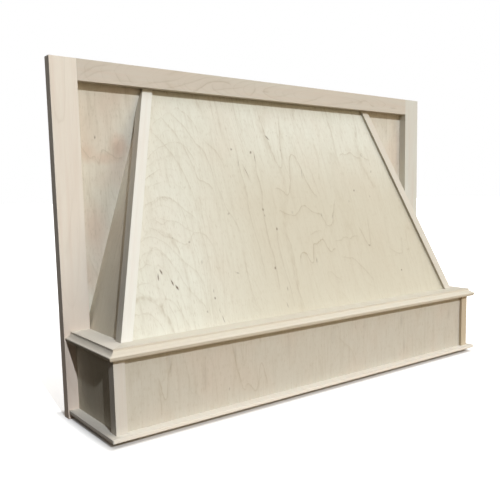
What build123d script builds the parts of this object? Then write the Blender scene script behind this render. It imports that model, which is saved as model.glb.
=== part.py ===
"""A wooden range hood cover: a face frame that hangs between two wall cabinets, a slanted
plywood hood with solid corner strips, a moulded mantle, and an apron box with a thin ledge.

Millimetres. +X to the viewer's right, -Y towards the room, +Z up.
The origin is the middle of the face frame's top edge, so every height is below zero.
"""
from build123d import *
import os
from math import atan2, cos, degrees, radians, sin, tan

# ---------------------------------------------------------------- overall sizes
frame_width = 914.4          # outer edge to outer edge of the stiles
frame_height = 609.6         # foot to top edge of the stiles

# ---------------------------------------------------------------- stock
frame_stock = 19.05          # thickness of the stiles and the rail
strip_stock = 19.05          # corner strips are planed square from this
panel_ply = 12.7             # hood panels and apron boards
backer_ply = 6.35            # panels behind the frame's recesses
cleat_stock = 19.05          # hidden square cleats

# ---------------------------------------------------------------- face frame
stile_width = 45.5
rail_width = 36.0

# ---------------------------------------------------------------- mantle
mantle_height = 152.4        # its top above the foot of the stiles
mantle_thickness = 16.7
mantle_width = 82.55         # nose to back edge of the moulded board
mantle_reach = 182.3         # nose in front of the frame's face
mantle_end_setback = 1.5     # nose inside the frame's outer edge
mantle_top_setback = 9.9     # top edge behind the nose
mantle_fillet = 3.2          # square step under the top edge
mantle_cove_hollow = 0.9     # depth of the shallow cove
mantle_nose_top = 9.7        # where the cove ends and the nose begins, below the top
mantle_nose_foot = 12.1      # where the nose ends and the ovolo begins
mantle_nose_round = 0.6      # the nose's ends behind its middle
mantle_ovolo_swell = 0.5     # how full the ovolo is
mantle_foot_setback = 2.7    # the ovolo's foot behind the nose

# ---------------------------------------------------------------- apron box
apron_strip_inset = 12.7     # corner strip inside the frame's outer edge
apron_setback = 14.1         # corner strip's face behind the mantle's nose

# ---------------------------------------------------------------- ledge
ledge_thickness = 6.35
ledge_width = 38.1
ledge_setback = 1.1          # its front edge behind the mantle's nose
ledge_end_setback = 1.6      # its ends inside the frame's outer edge
ledge_lift = 9.0             # its underside above the foot of the stiles

# ---------------------------------------------------------------- hood
hood_setback = 49.0          # front panel's face behind the mantle's nose, at the mantle
hood_head_inset = 175.3      # side panel's face inside the frame's outer edge, at the rail

# ---------------------------------------------------------------- pieces behind the frame
nailer_stock = 19.05
nailer_width = 32.0          # height of the nailer's front face
stile_lap = 19.0             # how far a recess panel laps behind its stile
rail_lap = 22.0              # and behind the rail
recess_cleat_setback = 25.4  # its cleat's ends from the mantle and from the rail

# ---------------------------------------------------------------- screws
shank_radius = 2.0
head_radius = 4.4            # at its flat underside
head_top_radius = 3.2
head_height = 2.4
screw_length = 32.0
stile_screw_length = 50.0
screw_tip = 4.0              # length of the pointed end
screw_clearance = 0.15       # pilot hole and pocket beyond the screw, all round
pocket_angle = 15.0          # pocket screws lean this far from the rail's length
pocket_seat = 15.0           # head's seat, measured along the screw from the joint
pocket_edge = 9.0            # pocket screws from the rail's long edges
nailer_screw_places = (-230.0, -80.0, 80.0, 230.0)
apron_screw_edge = 30.0      # stile screws from the top and foot of the apron box

# ---------------------------------------------------------------- worked-out places
half_width = frame_width / 2
frame_front = -frame_stock / 2
frame_back = frame_stock / 2
foot = -frame_height
rail_foot = -rail_width
stile_inner = half_width - stile_width

mantle_top = foot + mantle_height
mantle_foot = mantle_top - mantle_thickness
mantle_nose_y = frame_front - mantle_reach
mantle_nose_x = half_width - mantle_end_setback

ledge_foot = foot + ledge_lift
ledge_top = ledge_foot + ledge_thickness
ledge_front_y = mantle_nose_y + ledge_setback
ledge_end_x = half_width - ledge_end_setback

reveal = strip_stock - panel_ply             # strips stand this proud of their panels

apron_strip_x = half_width - apron_strip_inset
apron_strip_y = mantle_nose_y + apron_setback
apron_inner_x = apron_strip_x - strip_stock
apron_back_y = apron_strip_y + strip_stock
apron_height = mantle_foot - ledge_top

hood_rise = rail_foot - mantle_top
hood_foot_y = mantle_nose_y + hood_setback   # front panel's face at the mantle
hood_head_y = frame_back                     # the same face runs up to the rail's back edge
hood_foot_x = stile_inner                    # side panel's face starts at the stile's edge
hood_head_x = half_width - hood_head_inset
front_lean = atan2(hood_head_y - hood_foot_y, hood_rise)
side_lean = atan2(hood_foot_x - hood_head_x, hood_rise)
side_rear_y = frame_back + backer_ply + cleat_stock

# Horizontal sizes of the leaning pieces: their stock is measured square to their faces.
reveal_y = reveal / cos(front_lean)
reveal_x = reveal / cos(side_lean)
strip_depth = strip_stock / cos(front_lean)
strip_width = strip_stock / cos(side_lean)


def front_y(height, behind=0.0):
    """Y of the front panel's face at a height, or of a plane a given distance behind it."""
    return hood_foot_y + (height - mantle_top) * tan(front_lean) + behind


def side_x(height, inside=0.0):
    """X of the right side panel's face at a height, or of a plane inside it."""
    return hood_foot_x - (height - mantle_top) * tan(side_lean) - inside


def head_height_at(y):
    """Height of the square-cut upper ends of the hood, which slope down behind the rail."""
    return rail_foot - (y - frame_back) * tan(front_lean)


def block(x_range, y_range, z_range):
    """A square-edged board between two places on each axis."""
    size = [high - low for low, high in (x_range, y_range, z_range)]
    centre = [(high + low) / 2 for low, high in (x_range, y_range, z_range)]
    return Pos(*centre) * Box(*size)


def cut_to_views(front_view, side_view):
    """A piece cut to its outline seen from the front, (x, z), and from the side, (y, z)."""
    reach = frame_width
    front = make_face(Plane.XZ * Polyline(*front_view, close=True))
    side = make_face(Plane.YZ * Polyline(*side_view, close=True))
    return extrude(front, reach, both=True) & extrude(side, reach, both=True)


def other_side(piece):
    """The matching piece for the left side."""
    return mirror(piece, about=Plane.YZ)


# ---------------------------------------------------------------- screws and their holes
def screw(length):
    """A pan-head wood screw along -Z, with the underside of its head at the origin."""
    straight = length - screw_tip
    outline = Polyline(
        (0, head_height),
        (head_top_radius, head_height),
        (head_radius, 0),
        (shank_radius, 0),
        (shank_radius, -straight),
        (0, -length),
        close=True,
    )
    return revolve(make_face(Plane.XZ * outline), Axis.Z)


def pilot(length):
    """What a screw's shank needs taken away."""
    radius = shank_radius + screw_clearance
    return Pos(0, 0, -length / 2) * Cylinder(radius, length + 2 * screw_clearance)


def pocket():
    """The slanted pocket for a pocket screw's head, long enough to break out of the rail."""
    length = frame_stock / sin(radians(pocket_angle))
    return Pos(0, 0, length / 2) * Cylinder(head_radius + screw_clearance, length)


def pocket_screw_planes():
    """Seats of the pocket screws: two lean out of the rail's back into each stile."""
    lean = radians(pocket_angle)
    planes = []
    for side in (-1, 1):
        for height in (-pocket_edge, rail_foot + pocket_edge):
            seat = (side * (stile_inner - pocket_seat * cos(lean)), pocket_seat * sin(lean), height)
            back_along_screw = (-side * cos(lean), sin(lean), 0)
            planes.append(Plane(origin=seat, x_dir=(0, 0, 1), z_dir=back_along_screw))
    return planes


def stile_screw_planes():
    """Seats of the screws that go through each stile into the apron side and the mantle."""
    middle = apron_strip_x - reveal - panel_ply / 2
    heights = (
        ledge_top + apron_screw_edge,
        mantle_foot - apron_screw_edge,
        mantle_foot + mantle_thickness / 2,
    )
    places = [(side * middle, frame_back, height) for side in (-1, 1) for height in heights]
    return [Plane(origin=place, x_dir=(1, 0, 0), z_dir=(0, 1, 0)) for place in places]


def nailer_screw_planes():
    """Seats of the screws that hold the nailer to the back of the rail."""
    seat_y = frame_back + nailer_stock
    height = rail_foot + nailer_width / 2
    return [
        Plane(origin=(place, seat_y, height), x_dir=(1, 0, 0), z_dir=(0, 1, 0))
        for place in nailer_screw_places
    ]


def screws(planes, length):
    """One screw on each seat, as separate solids."""
    return Compound(children=[plane * screw(length) for plane in planes])


def cut_at(piece, planes, tool):
    """The piece less one copy of the cutting tool on each plane."""
    for plane in planes:
        piece = piece - plane * tool
    return piece


# ---------------------------------------------------------------- face frame
def stile():
    """The right stile, full height, drilled for the rail's and the apron's screws."""
    board = block((stile_inner, half_width), (frame_front, frame_back), (foot, 0))
    board = cut_at(board, pocket_screw_planes(), pilot(screw_length))
    return cut_at(board, stile_screw_planes(), pilot(stile_screw_length))


def top_rail():
    """The rail between the stiles, with two screw pockets in its back at each end."""
    rail = block((-stile_inner, stile_inner), (frame_front, frame_back), (rail_foot, 0))
    rail = cut_at(rail, pocket_screw_planes(), pilot(screw_length) + pocket())
    return cut_at(rail, nailer_screw_planes(), pilot(screw_length))


def recess_panel():
    """The right backing panel, cut along the hood's side and notched round its strip."""
    top = rail_foot + rail_lap
    outline = Polyline(
        (stile_inner + stile_lap, mantle_top),
        (side_x(mantle_top), mantle_top),
        (side_x(rail_foot), rail_foot),
        (side_x(rail_foot), top),
        (stile_inner + stile_lap, top),
        close=True,
    )
    panel = extrude(make_face(Plane.XZ * outline), backer_ply, dir=(0, 1, 0))
    return Pos(0, frame_back, 0) * panel - hood_corner_strip()


def recess_cleat():
    """The right cleat in the corner behind the recess panel and the hood's side."""
    low, high = mantle_top + recess_cleat_setback, rail_foot - recess_cleat_setback
    width = cleat_stock / cos(side_lean)
    front_view = (
        (side_x(low), low),
        (side_x(low) + width, low),
        (side_x(high) + width, high),
        (side_x(high), high),
    )
    near = frame_back + backer_ply
    side_view = ((near, low), (side_rear_y, low), (side_rear_y, high), (near, high))
    return cut_to_views(front_view, side_view)


def top_nailer():
    """The nailer behind the rail: its lower edge is bevelled to sit on the hood's head."""
    back = frame_back + nailer_stock
    top = rail_foot + nailer_width
    section = (
        (frame_back, rail_foot),
        (frame_back, top),
        (back, top),
        (back, head_height_at(back)),
    )
    length = side_x(rail_foot)
    front_view = ((-length, foot), (length, foot), (length, 0), (-length, 0))
    nailer = cut_to_views(front_view, section)
    return cut_at(nailer, nailer_screw_planes(), pilot(screw_length))


# ---------------------------------------------------------------- hood
def hood_front_panel():
    """The slanted panel between the corner strips, cut square at its head."""
    edge = strip_width - reveal_x
    front_view = (
        (-side_x(mantle_top, edge), mantle_top),
        (side_x(mantle_top, edge), mantle_top),
        (side_x(0, edge), 0),
        (-side_x(0, edge), 0),
    )
    thickness = strip_depth - reveal_y
    back_at_head = frame_back + panel_ply * cos(front_lean)
    side_view = (
        (front_y(mantle_top), mantle_top),
        (front_y(mantle_top, thickness), mantle_top),
        (back_at_head, head_height_at(back_at_head)),
        (frame_back, rail_foot),
    )
    return cut_to_views(front_view, side_view)


def hood_side():
    """The right side panel: it leans in and runs back through the frame's opening."""
    thickness = strip_width - reveal_x
    front_view = (
        (side_x(mantle_top, thickness), mantle_top),
        (side_x(mantle_top), mantle_top),
        (side_x(0), 0),
        (side_x(0, thickness), 0),
    )
    behind = strip_depth - reveal_y
    strip_back = frame_back + panel_ply * cos(front_lean)
    side_view = (
        (front_y(mantle_top, behind), mantle_top),
        (side_rear_y, mantle_top),
        (side_rear_y, head_height_at(side_rear_y)),
        (strip_back, head_height_at(strip_back)),
    )
    return cut_to_views(front_view, side_view)


def hood_corner_strip():
    """The right corner strip: square stock that leans both back and in, proud of both panels."""
    inner = strip_width - reveal_x
    front_view = (
        (side_x(mantle_top, inner), mantle_top),
        (side_x(mantle_top, -reveal_x), mantle_top),
        (side_x(0, -reveal_x), 0),
        (side_x(0, inner), 0),
    )
    behind = strip_depth - reveal_y
    strip_back = frame_back + panel_ply * cos(front_lean)
    side_view = (
        (front_y(mantle_top, -reveal_y), mantle_top),
        (front_y(mantle_top, behind), mantle_top),
        (strip_back, head_height_at(strip_back)),
        (frame_back, rail_foot),
        (front_y(rail_foot, -reveal_y), rail_foot),
    )
    return cut_to_views(front_view, side_view)


def foot_cleat_front():
    """The cleat on the mantle behind the front panel, bevelled to its slant."""
    behind = strip_depth - reveal_y
    top = mantle_top + cleat_stock
    back = front_y(mantle_top, behind) + cleat_stock
    side_view = (
        (front_y(mantle_top, behind), mantle_top),
        (back, mantle_top),
        (back, top),
        (front_y(top, behind), top),
    )
    end = strip_width - reveal_x
    front_view = (
        (-side_x(mantle_top, end), mantle_top),
        (side_x(mantle_top, end), mantle_top),
        (side_x(top, end), top),
        (-side_x(top, end), top),
    )
    return cut_to_views(front_view, side_view)


def foot_cleat_side():
    """The right cleat on the mantle inside the hood's side, bevelled to its lean."""
    inside = strip_width - reveal_x
    top = mantle_top + cleat_stock
    inner = side_x(mantle_top, inside) - cleat_stock
    front_view = (
        (inner, mantle_top),
        (side_x(mantle_top, inside), mantle_top),
        (side_x(top, inside), top),
        (inner, top),
    )
    near = front_y(mantle_top, strip_depth - reveal_y) + cleat_stock
    side_view = ((near, mantle_top), (frame_front, mantle_top), (frame_front, top), (near, top))
    return cut_to_views(front_view, side_view)


# ---------------------------------------------------------------- mantle
def mantle_profile():
    """The moulding's section, (inward from the nose, up from its underside)."""
    top = mantle_thickness
    cove_start = (mantle_top_setback, top - mantle_fillet)
    cove_end = (mantle_nose_round, top - mantle_nose_top)
    nose = (0, top - (mantle_nose_top + mantle_nose_foot) / 2)
    nose_foot = (mantle_nose_round, top - mantle_nose_foot)
    lower_edge = (mantle_foot_setback, 0)
    return make_face([
        Line((mantle_width, 0), (mantle_width, top)),
        Line((mantle_width, top), (mantle_top_setback, top)),
        Line((mantle_top_setback, top), cove_start),
        SagittaArc(cove_start, cove_end, mantle_cove_hollow),
        ThreePointArc(cove_end, nose, nose_foot),
        SagittaArc(nose_foot, lower_edge, -mantle_ovolo_swell),
        Line(lower_edge, (mantle_width, 0)),
    ])


def mitre_cutter(outer_x, outer_y, low, high):
    """Everything on the return's side of the mitre line through the right front corner."""
    reach = frame_width
    corner = (outer_x, outer_y)
    outline = Polyline(
        (corner[0] + reach, corner[1] - reach),
        (corner[0] - reach, corner[1] + reach),
        (corner[0] + reach, corner[1] + reach),
        close=True,
    )
    return Pos(0, 0, low) * extrude(make_face(outline), high - low)


def mantle_front():
    """The front moulding, mitred at both ends."""
    plane = Plane(origin=(-mantle_nose_x, mantle_nose_y, mantle_foot), x_dir=(0, 1, 0), z_dir=(1, 0, 0))
    moulding = extrude(plane * mantle_profile(), 2 * mantle_nose_x)
    cutter = mitre_cutter(mantle_nose_x, mantle_nose_y, mantle_foot, mantle_top)
    return moulding - cutter - other_side(cutter)


def mantle_return():
    """The right return, mitred in front and butted to the stile's face."""
    plane = Plane(origin=(mantle_nose_x, mantle_nose_y, mantle_foot), x_dir=(-1, 0, 0), z_dir=(0, 1, 0))
    moulding = extrude(plane * mantle_profile(), frame_front - mantle_nose_y)
    moulding = moulding & mitre_cutter(mantle_nose_x, mantle_nose_y, mantle_foot, mantle_top)
    return cut_at(moulding, stile_screw_planes(), pilot(stile_screw_length))


# ---------------------------------------------------------------- apron box
def apron_front_board():
    """The upright board between the apron's corner strips."""
    face = apron_strip_y + reveal
    return block((-apron_inner_x, apron_inner_x), (face, face + panel_ply), (ledge_top, mantle_foot))


def apron_side():
    """The right end of the apron box, from its corner strip back to the stile's face."""
    outer = apron_strip_x - reveal
    board = block((outer - panel_ply, outer), (apron_back_y, frame_front), (ledge_top, mantle_foot))
    return cut_at(board, stile_screw_planes(), pilot(stile_screw_length))


def apron_corner_strip():
    """The right corner strip of the apron box, proud of both boards."""
    return block((apron_inner_x, apron_strip_x), (apron_strip_y, apron_back_y), (ledge_top, mantle_foot))


def box_cleat_front(low):
    """A cleat behind the apron's front board, between the two side cleats."""
    end = apron_inner_x - cleat_stock
    return block((-end, end), (apron_back_y, apron_back_y + cleat_stock), (low, low + cleat_stock))


def box_cleat_side(low):
    """A cleat inside the apron's right end."""
    return block(
        (apron_inner_x - cleat_stock, apron_inner_x), (apron_back_y, frame_front), (low, low + cleat_stock)
    )


# ---------------------------------------------------------------- ledge
def ledge_front():
    """The thin front ledge, mitred at both ends."""
    board = block(
        (-ledge_end_x, ledge_end_x), (ledge_front_y, ledge_front_y + ledge_width), (ledge_foot, ledge_top)
    )
    cutter = mitre_cutter(ledge_end_x, ledge_front_y, ledge_foot, ledge_top)
    return board - cutter - other_side(cutter)


def ledge_return():
    """The right ledge, mitred in front and butted to the stile's face."""
    board = block(
        (ledge_end_x - ledge_width, ledge_end_x), (ledge_front_y, frame_front), (ledge_foot, ledge_top)
    )
    return board & mitre_cutter(ledge_end_x, ledge_front_y, ledge_foot, ledge_top)


# ---------------------------------------------------------------- all pieces
def pieces():
    """Every node's name and solid. Sided pieces are made for the right and mirrored."""
    sided = {
        "stile": stile(),
        "recess_panel": recess_panel(),
        "recess_cleat": recess_cleat(),
        "hood_side": hood_side(),
        "hood_corner_strip": hood_corner_strip(),
        "foot_cleat": foot_cleat_side(),
        "mantle_return": mantle_return(),
        "apron_side": apron_side(),
        "apron_corner_strip": apron_corner_strip(),
        "apron_cleat": box_cleat_side(mantle_foot - cleat_stock),
        "liner_cleat": box_cleat_side(ledge_top),
        "ledge_return": ledge_return(),
    }
    single = {
        "top_rail": top_rail(),
        "top_nailer": top_nailer(),
        "hood_front_panel": hood_front_panel(),
        "foot_cleat_front": foot_cleat_front(),
        "mantle_front": mantle_front(),
        "apron_front_board": apron_front_board(),
        "apron_cleat_front": box_cleat_front(mantle_foot - cleat_stock),
        "liner_cleat_front": box_cleat_front(ledge_top),
        "ledge_front": ledge_front(),
        "rail_pocket_screws": screws(pocket_screw_planes(), screw_length),
        "stile_screws": screws(stile_screw_planes(), stile_screw_length),
        "nailer_screws": screws(nailer_screw_planes(), screw_length),
    }
    for name, piece in sided.items():
        single[name + "_right"] = piece
        single[name + "_left"] = other_side(piece)
    return single


def main():
    """Write one file for each piece and print what was made."""
    os.makedirs("parts", exist_ok=True)
    made = pieces()
    for name, piece in made.items():
        export_step(piece, f"parts/{name}.step")
    print(len(made), "pieces; front leans", round(degrees(front_lean), 2), "degrees,",
          "sides lean", round(degrees(side_lean), 2), "degrees")


if __name__ == "__main__":
    main()
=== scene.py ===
"""The looks of a wooden range hood cover: sanded maple boards and maple plywood, softwood
cleats behind, zinc-plated screws, and the stage it is seen on. Metres, +Z up."""
from math import cos, pi, radians, sin, tan

import bmesh
import bpy
from mathutils import Matrix, Vector


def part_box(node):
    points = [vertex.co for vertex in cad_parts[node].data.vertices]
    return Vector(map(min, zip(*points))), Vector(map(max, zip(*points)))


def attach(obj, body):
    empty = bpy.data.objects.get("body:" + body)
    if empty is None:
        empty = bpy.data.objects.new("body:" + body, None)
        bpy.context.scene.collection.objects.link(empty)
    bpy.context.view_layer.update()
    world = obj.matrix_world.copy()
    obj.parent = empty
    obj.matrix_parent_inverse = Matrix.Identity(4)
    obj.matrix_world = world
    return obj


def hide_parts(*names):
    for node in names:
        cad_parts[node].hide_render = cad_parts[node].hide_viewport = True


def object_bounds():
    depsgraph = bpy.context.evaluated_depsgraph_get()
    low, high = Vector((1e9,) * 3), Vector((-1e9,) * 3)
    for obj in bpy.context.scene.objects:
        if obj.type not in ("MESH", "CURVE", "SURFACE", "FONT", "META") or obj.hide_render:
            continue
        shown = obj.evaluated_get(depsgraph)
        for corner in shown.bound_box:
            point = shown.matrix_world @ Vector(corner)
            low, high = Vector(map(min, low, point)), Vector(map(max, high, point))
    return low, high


bl_info = {
    "name": "Wooden Range Hood Cover",
    "version": (1, 0, 0),
    "blender": (4, 5, 0),
    "location": "View3D > Sidebar > Hood Cover",
    "description": "Finishes a wooden range hood cover and sets its stage",
    "category": "Object",
}

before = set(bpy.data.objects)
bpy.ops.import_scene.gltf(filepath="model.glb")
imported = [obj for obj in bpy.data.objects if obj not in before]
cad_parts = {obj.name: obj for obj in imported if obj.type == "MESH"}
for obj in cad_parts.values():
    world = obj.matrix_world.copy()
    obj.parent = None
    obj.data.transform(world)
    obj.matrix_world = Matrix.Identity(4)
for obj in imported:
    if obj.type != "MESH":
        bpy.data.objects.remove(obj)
cad_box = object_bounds()
MM = 0.001
EVEN = 1e6  # a size in mm at which a pattern doesn't change over the board
UP = Vector((0, 0, 1))
ACROSS = Vector((1, 0, 0))
BACK = Vector((0, 1, 0))
SIDES = (("left", -1), ("right", 1))


def linear(colour):
    """An sRGB hex colour as linear red, green and blue."""
    parts = [int(colour[i:i + 2], 16) / 255 for i in (1, 3, 5)]
    return tuple(p / 12.92 if p <= 0.04045 else ((p + 0.055) / 1.055) ** 2.4 for p in parts)


def number(name, description, default, **more):
    """A number that the user can change."""
    return bpy.props.FloatProperty(name=name, description=description, default=default, **more)


def mm_size(name, description, default):
    """A size of the pattern in millimetres."""
    return number(name, description, default, min=0.01)


def angle(name, description, degrees):
    """An angle that the user can change."""
    return number(name, description, radians(degrees), subtype="ANGLE")


def vector(name, description, default, **more):
    """A place, a direction or a colour that the user can change."""
    return bpy.props.FloatVectorProperty(
        name=name, description=description, default=default, **more)


def colour_of(what, colour):
    """A colour that the user can change."""
    return vector(what.capitalize(), f"Colour of the {what}", linear(colour), subtype="COLOR",
                  min=0, max=1)


# ------------------------------------ what the user can change
class HoodColours(bpy.types.PropertyGroup):
    """Colours of the woods and the metal."""
    frame_maple: colour_of("left stile", "#E7E1D5")
    far_frame_maple: colour_of("right stile", "#D3D5CD")
    rail_maple: colour_of("rail", "#CCC7BB")
    strip_maple: colour_of("left hood strip", "#DEDED6")
    far_strip_maple: colour_of("right hood strip", "#CECABE")
    corner_maple: colour_of("left apron strip", "#CFCDC4")
    far_corner_maple: colour_of("right apron strip", "#BFB49C")
    mantle_maple: colour_of("mantle", "#DDD8C9")
    return_maple: colour_of("mantle and ledge returns", "#E6E2D6")
    ledge_maple: colour_of("ledge", "#EAE6DB")
    panel_veneer: colour_of("front panel's veneer", "#D9DACE")
    side_veneer: colour_of("hood sides' veneer", "#EEEADC")
    recess_veneer: colour_of("recess panels' veneer", "#DCD8CB")
    apron_veneer: colour_of("apron front's veneer", "#C5C1B5")
    # a darker copy of the apron front's veneer: painted shade for the apron ends, which stand in shade
    end_veneer: colour_of("apron ends' veneer", "#BDB8A7")
    warm: colour_of("yellower parts of the veneer", "#BEB59F")
    rosy: colour_of("pinkish parts of the wood", "#CDB09C")
    line: colour_of("growth lines, the late wood of a ring", "#A3967E")
    mineral: colour_of("mineral flecks and streaks", "#57452E")
    core_pale: colour_of("long-grain plywood layers", "#A99981")
    core_dark: colour_of("cross-grain plywood layers", "#8A785C")
    softwood_pale: colour_of("spring wood of the cleats", "#E3CBA0")
    softwood_line: colour_of("summer wood of the cleats", "#B98F58")
    zinc: colour_of("zinc-plated screws", "#B9B7AE")


class HoodGrain(bpy.types.PropertyGroup):
    """Sizes of the wood's figure."""
    fibre: mm_size("Fibre", "Width of a bundle of fibres in mm, coarse enough to show", 0.7)
    fibre_run: mm_size("Fibre run", "Length of a bundle of fibres in mm", 26)
    ring: mm_size("Ring", "Growth ring of the solid boards in mm", 3.2)
    veneer: mm_size("Veneer", "Thickness of one plywood layer in mm", 1.6)
    ease: mm_size("Eased edge", "Radius sanded onto each solid edge in mm", 1.1)
    ledge_ease: mm_size("Ledge edge", "Radius sanded onto the ledge's edges in mm", 2.4)
    crisp: mm_size("Crisp edge", "Radius sanded onto each plywood edge in mm", 0.4)


class HoodSlopes(bpy.types.PropertyGroup):
    """How the hood leans."""
    front: angle("Front lean", "Lean of the front panel", 19.89)
    side: angle("Side lean", "Lean of the side panels", 17.13)


class HoodStage(bpy.types.PropertyGroup):
    """Camera, floor and even light. The lamps' settings join them from the list below."""
    eye: vector("Eye", "Where the camera stands", (-0.82882, -1.08469, -0.22628),
                subtype="TRANSLATION", unit="LENGTH")
    heading: angle("Heading", "Turn of the view from +Y towards +X", 39.758)
    rise: angle("Rise", "Tilt of the view above level", -6.829)
    roll: angle("Roll", "Turn of the camera about its view", -0.657)
    focus: number("Focal length", "As a share of the picture's width", 1.2772)
    centre: vector("Centre", "The view's axis, in picture widths from its top left", (0.6, 0.5389),
                   size=2)
    fill_colour: colour_of("even light", "#FFD498")
    fill: number("Fill", "Strength of the even light all round", 0.045)
    floor_drop: number("Floor gap", "How far the floor lies below the feet", 0.0002, unit="LENGTH")


# The lamps: name, what it is, the way its light travels, colour, strength, and the angle in
# degrees that it fills.
LAMPS = (
    ("key", "key light", (0.155, 1.0, -0.64), "#F1F7FF", 2.14, 0.8),
    ("front", "softbox on the right", (-0.5, 0.8, -0.3), "#FFF2DC", 0.78, 45),
    ("top", "softbox overhead", (-0.45, 0.25, -0.85), "#FFFFFF", 1.4, 55),
    ("left", "softbox on the left", (0.75, 0.25, -0.62), "#F4F6FF", 0.195, 50),
    ("low", "softbox near the floor", (-0.3, 1.0, -0.02), "#FFE0B0", 0.3, 60),
    ("back", "softbox behind", (-0.2, -1.0, -0.1), "#FFF6E8", 0.9, 40),
)


def lamp_settings():
    """The four settings of every lamp, by name."""
    made = {}
    for name, what, way, colour, strength, width in LAMPS:
        title = name.capitalize()
        made[f"{name}_way"] = vector(
            f"{title} way", f"The way the light of the {what} travels", way, subtype="DIRECTION")
        made[f"{name}_colour"] = colour_of(what, colour)
        made[f"{name}_strength"] = number(f"{title} strength", f"Strength of the {what}", strength)
        made[f"{name}_width"] = angle(f"{title} width", f"Angle that the {what} fills", width)
    return made


HoodStage.__annotations__.update(lamp_settings())


class HoodSettings(bpy.types.PropertyGroup):
    """Everything that can be changed."""
    colours: bpy.props.PointerProperty(type=HoodColours)
    grain: bpy.props.PointerProperty(type=HoodGrain)
    slopes: bpy.props.PointerProperty(type=HoodSlopes)
    stage: bpy.props.PointerProperty(type=HoodStage)


def settings():
    """The scene's settings."""
    return bpy.context.scene.hood_cover


# ------------------------------------ parts of a material
def add(tree, kind, inputs=(), **values):
    """Add a node, set its values, and give its inputs, by name or in order, a value, another
    node's socket, or another node, which stands for its first output."""
    node = tree.nodes.new(kind)
    for name, value in values.items():
        setattr(node, name, value)
    for key, value in inputs.items() if isinstance(inputs, dict) else enumerate(inputs):
        socket = node.inputs[key]
        if isinstance(value, bpy.types.Node):
            value = value.outputs[0]
        if isinstance(value, bpy.types.NodeSocket):
            tree.links.new(value, socket)
        else:
            socket.default_value = (*value, 1.0) if socket.type == "RGBA" else value
    return node


def new_material(name):
    """An empty material and its tree."""
    material = bpy.data.materials.new(name)
    material.use_nodes = True
    material.node_tree.nodes.clear()
    return material, material.node_tree


def grain_space(tree, origin, along, inward):
    """Place in the board in mm: across the face, into the board, and along the grain."""
    along = Vector(along).normalized()
    inward = (Vector(inward) - Vector(inward).dot(along) * along).normalized()
    turn = Matrix((inward.cross(along), inward, along)).transposed().to_euler()
    where = add(tree, "ShaderNodeTexCoord")
    return add(tree, "ShaderNodeMapping", (
        where.outputs["Object"], origin, turn, (MM, MM, MM)), vector_type="TEXTURE")


def cloud(tree, place, size, seed, detail=2.0):
    """Noise whose lumps have the given sizes."""
    cell = add(tree, "ShaderNodeVectorMath", (place, size), operation="DIVIDE")
    return add(tree, "ShaderNodeTexNoise", {
        "Vector": cell, "W": seed, "Scale": 1.0, "Detail": detail}, noise_dimensions="4D")


def wavered(tree, place, size, amount, seed):
    """The place pushed about by waves of the given sizes, by up to the given amounts."""
    wave = cloud(tree, place, size, seed).outputs["Color"]
    centred = add(tree, "ShaderNodeVectorMath", (wave, (0.5, 0.5, 0.5)),
                  operation="SUBTRACT")
    return add(tree, "ShaderNodeVectorMath", (centred, amount, place),
               operation="MULTIPLY_ADD")


def patches(tree, place, size, seed, low, high):
    """Soft patches of the given sizes, from 0 to 1."""
    return add(tree, "ShaderNodeMapRange", (cloud(tree, place, size, seed), low, high))


def fibre_bundles(tree, place, seed):
    """The fine fibres along the grain."""
    grain = settings().grain
    return patches(tree, place, (grain.fibre, grain.fibre, grain.fibre_run), seed, 0.3, 0.7)


def ring_count(tree, place, pith, lean, ring):
    """How many rings lie between the leaning pith and each place."""
    shifted = add(tree, "ShaderNodeMapping", (place, pith, (lean, 0, 0), (ring, ring, EVEN)),
                  vector_type="TEXTURE")
    return add(tree, "ShaderNodeVectorMath", (shifted,), operation="LENGTH").outputs["Value"]


def loop_count(tree, place, size, rings, seed):
    """Rings that a rotary knife crosses again and again: long loops of the given size."""
    hills = cloud(tree, place, size, seed, detail=1.0)
    return add(tree, "ShaderNodeMath", (hills, rings), operation="MULTIPLY")


def ramped(tree, value, stops):
    """A value from 0 to 1 read off a ramp of (position, height) stops."""
    ramp = add(tree, "ShaderNodeValToRGB", (value,))
    while len(ramp.color_ramp.elements) < len(stops):
        ramp.color_ramp.elements.new(0.5)
    for element, (position, height) in zip(ramp.color_ramp.elements, stops):
        element.position = position
        element.color = (height, height, height, 1)
    return ramp


def late_wood(tree, count, seed):
    """The dark end of each ring, at uneven steps and stronger in some years than in others."""
    drift = add(tree, "ShaderNodeTexNoise", {"W": count, "Scale": 0.8, "Detail": 0.0},
                noise_dimensions="1D")
    uneven = add(tree, "ShaderNodeMath", (drift, 0.9, count), operation="MULTIPLY_ADD")
    season = add(tree, "ShaderNodeMath", (uneven,), operation="FRACT")
    year = add(tree, "ShaderNodeMath", (uneven,), operation="FLOOR")
    dark = ramped(tree, season, (
        (0.0, 0.4), (0.04, 0.0), (0.5, 0.0), (0.86, 0.2), (0.95, 1.0), (1.0, 0.4)))
    key = add(tree, "ShaderNodeMath", (year, seed), operation="ADD")
    weather = add(tree, "ShaderNodeTexWhiteNoise", {"W": key}, noise_dimensions="1D")
    vigour = add(tree, "ShaderNodeMapRange", (weather, 0.0, 1.0, 0.25))
    return add(tree, "ShaderNodeMath", (dark, vigour), operation="MULTIPLY")


def layered(tree, colour, layers):
    """The colour with layers over it in turn, each a tint, a mask and a strength."""
    for tint, mask, strength in layers:
        share = add(tree, "ShaderNodeMath", (mask, strength), operation="MULTIPLY")
        colour = add(tree, "ShaderNodeMix", {0: share, 6: colour, 7: tint},
                     data_type="RGBA").outputs[2]
    return colour


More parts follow.
